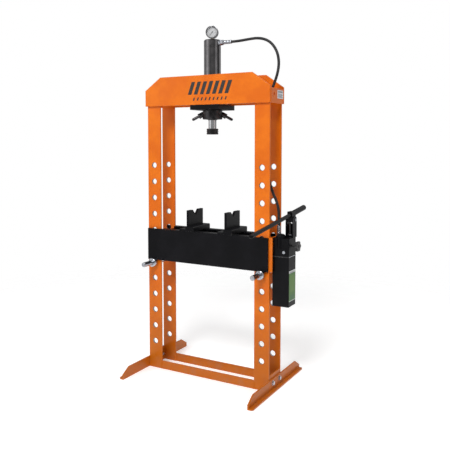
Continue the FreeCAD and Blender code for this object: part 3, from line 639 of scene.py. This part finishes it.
marks = bmesh.new()
for k in range(SCALE_STEPS + 1):
    long_mark = k % 5 == 0
    length = MARK_DEEP * (2 if long_mark else 1)
    width = (0.9 if long_mark else 0.45) * MM
    shape = Matrix.Diagonal((length, PRINT_T, width, 1))
    turn = Matrix.Rotation(-(SCALE_START - SCALE_SWEEP * k / SCALE_STEPS), 4, "Y")
    out = Matrix.Translation((MARK_R - length / 2, 0, 0))
    bmesh.ops.create_cube(marks, size=1, matrix=on_dial @ turn @ out @ shape)
keep("dial_marks", marks, "carriage", ink, smooth=False)

# %% Dial numbers


def lettering(name, text, height, place):
    """Text as a mesh: it lies in XY, and `place` stands it where it belongs."""
    data = bpy.data.curves.new(name, "FONT")
    data.body, data.size = text, height
    data.align_x, data.align_y = "CENTER", "CENTER"
    data.extrude = PRINT_T / 2
    holder = bpy.data.objects.new(name, data)
    mesh = bmesh.new()
    mesh.from_mesh(bpy.data.meshes.new_from_object(holder))
    bpy.data.objects.remove(holder)
    bmesh.ops.transform(mesh, matrix=place, verts=mesh.verts)
    return mesh


upright_text = Matrix.Rotation(pi / 2, 4, "X")
NUMBER_R, NUMBER_H = MARK_R - 8 * MM, 5 * MM
numbers = bmesh.new()
for k in range(0, SCALE_STEPS + 1, 5):
    angle = SCALE_START - SCALE_SWEEP * k / SCALE_STEPS
    spot = Matrix.Translation((NUMBER_R * cos(angle), 0, NUMBER_R * sin(angle)))
    part = lettering("number", str(k * 2), NUMBER_H, on_dial @ spot @ upright_text)
    copy = bpy.data.meshes.new("number")
    part.to_mesh(copy)
    part.free()
    numbers.from_mesh(copy)
keep("dial_numbers", numbers, "carriage", ink, smooth=False)
print("dial reads 0 to", SCALE_STEPS * 2)

# %% [markdown]
# ## Seals, washers and small rings
# These are too small to matter to how the press works, yet they are what makes it look
# assembled: a rubber wiper where the bright rod leaves the cylinder, a gland ring round the
# pump's plunger, washers under the bolt heads, snap rings on the lever's pin, and a cap in
# the middle of the knob.

# %% Wiper and gland ring
rod_low, rod_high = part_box("piston_rod")
rod_r = (rod_high.x - rod_low.x) / 2
wiper = bmesh.new()
WIPER_OUT, WIPER_DOWN = 6 * MM, 4 * MM
turned(wiper, [(rod_r + 0.1 * MM, -WIPER_DOWN), (rod_r + 1.5 * MM, -WIPER_DOWN),
               (rod_r + WIPER_OUT, -0.8 * MM), (rod_r + WIPER_OUT, 0.5 * MM),
               (rod_r + 0.1 * MM, 0.5 * MM)], ram_axis.xy.to_3d() + Z * tube_low.z, Z)
keep("rod_wiper", wiper, "carriage", "black_plastic")

plunger_low, plunger_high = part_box("pump_plunger")
plunger_r = (plunger_high.x - plunger_low.x) / 2
plunger_axis = middle("pump_plunger")
TOWER_BASE_UP = 12 * MM
tower_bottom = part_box("pump_tower")[0].z
gland = bmesh.new()
turned(gland, [(plunger_r + 0.5 * MM, 0), (plunger_r + 5 * MM, 0), (plunger_r + 5 * MM, 4 * MM),
               (plunger_r + 4 * MM, 5 * MM), (plunger_r + 0.5 * MM, 5 * MM)],
       plunger_axis.xy.to_3d() + Z * (tower_bottom + TOWER_BASE_UP), Z, 32)
keep("plunger_gland_ring", gland, "root", "zinc_steel")

# %% Washers and snap rings
FOOT_BOLT_UP, FOOT_BOLT_OUT, FOOT_BOLT_R, FOOT_T = 38 * MM, 40 * MM, 6 * MM, 8 * MM
frame_middle_y = (frame_front + frame_rear) / 2
washers = bmesh.new()
for side in ("left", "right"):
    sign = 1 if side == "right" else -1
    foot_low, foot_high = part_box("foot_" + side)
    wall_x = foot_low.x + FOOT_T if sign > 0 else foot_high.x - FOOT_T
    for dy in (-FOOT_BOLT_OUT, FOOT_BOLT_OUT):
        washer(washers, Vector((wall_x, frame_middle_y + dy, FOOT_BOLT_UP)), X * sign,
               FOOT_BOLT_R * 1.45, FOOT_BOLT_R * 2.1, 1.6 * MM)
keep("foot_washers", washers, "root", "zinc_steel")

pin_low, pin_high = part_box("lever_pin")
pin_axis = middle("lever_pin")
snap_rings = bmesh.new()
for x, out in ((pin_low.x, 1), (pin_high.x, -1)):
    washer(snap_rings, Vector((x + 0.6 * MM * out, pin_axis.y, pin_axis.z)), X * out,
           6.05 * MM, 8.6 * MM, 1.3 * MM)
keep("lever_pin_rings", snap_rings, "root", "zinc_steel")

# %% Knob cap, and a painted highlight along the pump's seam
knob_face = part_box("release_knob")[1].x
knob_axis = middle("release_knob")
cap = bmesh.new()
turned(cap, [(0, -0.5 * MM), (9 * MM, -0.5 * MM), (9 * MM, 1 * MM), (7.5 * MM, 2.2 * MM),
             (3 * MM, 2.8 * MM), (0, 2.9 * MM)], Vector((knob_face, knob_axis.y, knob_axis.z)), X, 32)
keep("knob_cap", cap, "knob", "black_plastic")

seam_low, seam_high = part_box("pump_gasket")
# A bright zinc strip on the gasket's right face only, none on its front: a painted highlight where the
# light catches the seam.
seam_highlight = bmesh.new()
SEAM_PROUD, SEAM_T = 0.4 * MM, 1.6 * MM
seam_size = Matrix.Diagonal((SEAM_PROUD * 2, seam_high.y - seam_low.y - 8 * MM,
                             seam_high.z - seam_low.z - SEAM_T, 1))
seam_middle = middle("pump_gasket")
seam_place = Matrix.Translation((seam_high.x, seam_middle.y, seam_middle.z))
bmesh.ops.create_cube(seam_highlight, size=1, matrix=seam_place @ seam_size)
keep("pump_seam", seam_highlight, "root", "zinc_steel", smooth=False)
dress("pump_gasket", finishes["black_plastic"])

# %% [markdown]
# ## Weld beads
# The frame is welded. A bead is a row of overlapping ripples, each a few millimetres long,
# laid in the corner between two plates. The bead here is a tube whose radius swells and
# shrinks at each ripple, half sunk in the corner, with a little wander from a sine so that
# it isn't ruled.

# %% Weld beads
RIPPLE = 3.6 * MM
BEAD_R, SMALL_BEAD_R, END_BEAD_R = 3.6 * MM, 3 * MM, 2.6 * MM
SHORT = 2 * MM      # a bead stops this far from the end of its joint


def bead(mesh, start, end, radius=BEAD_R):
    """Lays one bead from start to end."""
    start, end = Vector(start), Vector(end)
    run = end - start
    ripples = max(3, round(run.length / RIPPLE))
    made = bmesh.ops.create_circle(mesh, cap_ends=True, radius=radius * 0.5, segments=8,
                                   matrix=placing(start, run))
    face = made["verts"][0].link_faces[0]
    step = run / (ripples * 2)
    for k in range(ripples * 2):
        face = bmesh.ops.extrude_discrete_faces(mesh, faces=[face])["faces"][0]
        bmesh.ops.translate(mesh, verts=face.verts, vec=step)
        wide = radius * (1.0 if k % 2 == 0 else 0.82) * (1 + 0.08 * sin(k * 1.7))
        if k == ripples * 2 - 1:
            wide = radius * 0.5
        middle_point = face.calc_center_median()
        now = (face.verts[0].co - middle_point).length
        bmesh.ops.scale(mesh, verts=face.verts, vec=(wide / now,) * 3,
                        space=Matrix.Translation(-middle_point))


frame_beads = bmesh.new()
for side in ("right", "left"):
    low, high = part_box("upright_front_" + side)
    inner_x = low.x if side == "right" else high.x
    for y in (frame_front, frame_rear):
        bead(frame_beads, (low.x + 6 * MM, y, beam_bottom), (high.x - 6 * MM, y, beam_bottom))
    for bar in ("crossbar_front", "crossbar_rear"):
        bar_low, bar_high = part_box(bar)
        face_y = bar_low.y if bar == "crossbar_front" else bar_high.y
        bead(frame_beads, (inner_x, face_y, 3 * MM), (inner_x, face_y, bar_high.z - SHORT), SMALL_BEAD_R)
        bead(frame_beads, (inner_x, bar_low.y + SHORT, bar_high.z),
             (inner_x, bar_high.y - SHORT, bar_high.z), SMALL_BEAD_R)
for side in ("left", "right"):
    web_low, web_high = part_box("foot_web_" + side)
    web_x = web_low.x if side == "right" else web_high.x
    for y in (web_low.y, web_high.y):
        bead(frame_beads, (web_x, y, 4 * MM), (web_x, y, web_high.z - SHORT), SMALL_BEAD_R)
    end_low, end_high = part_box("beam_end_" + side)
    end_x = end_high.x if side == "right" else end_low.x
    for y in (end_low.y, end_high.y):
        bead(frame_beads, (end_x, y, end_low.z + 3 * MM), (end_x, y, end_high.z - SHORT), END_BEAD_R)
bead_paint = painted("paint_frame_welds", *cad_box, ORANGE, ORANGE_DEEP, 0.0)
keep("frame_welds", frame_beads, "root", bead_paint)

# %% Welds of the table
table_beads = bmesh.new()
for side in ("left", "right"):
    low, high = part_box("table_spacer_" + side)
    for x in (low.x, high.x):
        for y in (low.y, high.y):
            bead(table_beads, (x, y, low.z + 4 * MM), (x, y, high.z - 4 * MM), SMALL_BEAD_R)
table_weld_paint = painted("paint_table_welds", *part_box("table_channel_front"), BLACK_DUSTY, BLACK, 0.0)
keep("table_welds", table_beads, "table", table_weld_paint)

# %% [markdown]
# ## Floor and light
# A studio has a pale floor, a large soft key lamp high at the front, a weaker lamp to the left,
# one behind for the edges, and a bright surround that fills the shadows. The floor glows a
# little and fades out with distance, so that it ends in plain white without a horizon.

# %% Floor
FLOOR_R, FADE_FROM, FADE_TO = 30, 1.6, 3.2
floor_mesh = bmesh.new()
bmesh.ops.create_circle(floor_mesh, cap_ends=True, radius=FLOOR_R, segments=96)
floor_data = bpy.data.meshes.new("floor")
floor_mesh.to_mesh(floor_data)
floor = bpy.data.objects.new("floor", floor_data)
floor_paint = Finish("floor_paint", Base_Color=(0.9, 0.9, 0.9, 1), Roughness=0.8, Specular_IOR_Level=0.1,
                     Emission_Color=(1, 1, 1, 1), Emission_Strength=0.35)
from_middle = floor_paint.node("ShaderNodeVectorMath", {"operation": "LENGTH"},
                               {0: floor_paint.place}, out=1)
floor_paint.set(Alpha=from_middle.between(FADE_TO, FADE_FROM))
floor.data.materials.append(floor_paint.made)
bpy.context.collection.objects.link(floor)
print("floor fades out from", FADE_FROM, "m")

# %% Lamps


LAMP_FAR, AIM_UP = 5.0, 0.95


def lamp(name, azimuth, elevation, size, watts):
    """A round lamp aimed at the press, seen from it at an azimuth and elevation in degrees."""
    data = bpy.data.lights.new(name, "AREA")
    data.shape, data.size, data.energy = "DISK", size, watts
    made = bpy.data.objects.new(name, data)
    aim = ram_axis.xy.to_3d() + Z * AIM_UP
    a, e = radians(azimuth), radians(elevation)
    away = Vector((sin(a) * cos(e), -cos(a) * cos(e), sin(e)))
    made.location = aim + away * LAMP_FAR
    made.rotation_mode = "QUATERNION"
    made.rotation_quaternion = away.to_track_quat("Z", "Y")
    bpy.context.collection.objects.link(made)


lamp("key", 12, 42, 1.6, 150)
lamp("fill", -50, 20, 3.0, 22)
lamp("back", 150, 50, 2.5, 40)
print(len(bpy.data.lights), "lamps")

# %% [markdown]
# ## The surround
# Polished metal shows only what it reflects, so an even white surround would make it look
# like grey plastic. The camera sees plain white behind the press. Everything else sees upright
# bright and dark strips, which put the light and dark bands on the cylinder and the rod.

# %% Surround: white to look at, and soft bright and dark strips for the metal to reflect
STRIPS = ((0.0, 0.13), (0.22, 0.18), (0.45, 0.85), (0.62, 0.85), (0.85, 0.22), (1.0, 0.30))
world = bpy.data.worlds.new("surround")
world.use_nodes = True
sky, join = world.node_tree.nodes, world.node_tree.links.new
look = sky.new("ShaderNodeTexCoord")
facing = sky.new("ShaderNodeVectorMath")
facing.operation = "DOT_PRODUCT"
facing.inputs[1].default_value = (sin(camera_turn), -cos(camera_turn), 0)
either_way = sky.new("ShaderNodeMath")
either_way.operation = "ABSOLUTE"
strips = sky.new("ShaderNodeValToRGB")
strips.color_ramp.interpolation = "EASE"
for at, bright in STRIPS[1:-1]:
    strips.color_ramp.elements.new(at)
for element, (at, bright) in zip(strips.color_ramp.elements, STRIPS):
    element.position, element.color = at, (bright, bright, bright, 1)
seen = sky.new("ShaderNodeLightPath")
backdrop = sky.new("ShaderNodeMix")
backdrop.data_type = "RGBA"
backdrop.inputs[MIX_B].default_value = (1, 1, 1, 1)
join(look.outputs["Generated"], facing.inputs[0])
join(facing.outputs["Value"], either_way.inputs[0])
join(either_way.outputs[0], strips.inputs[0])
join(strips.outputs["Color"], backdrop.inputs[MIX_A])
join(seen.outputs["Is Camera Ray"], backdrop.inputs[MIX_FACTOR])
join(backdrop.outputs[MIX_OUT], sky["Background"].inputs["Color"])
bpy.context.scene.world = world
bpy.context.scene.view_settings.view_transform = "Standard"
print(len(STRIPS), "strips of light")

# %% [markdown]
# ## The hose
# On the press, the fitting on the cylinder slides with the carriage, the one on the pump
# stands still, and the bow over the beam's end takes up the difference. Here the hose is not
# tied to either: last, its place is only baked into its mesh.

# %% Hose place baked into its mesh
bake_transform(hose)
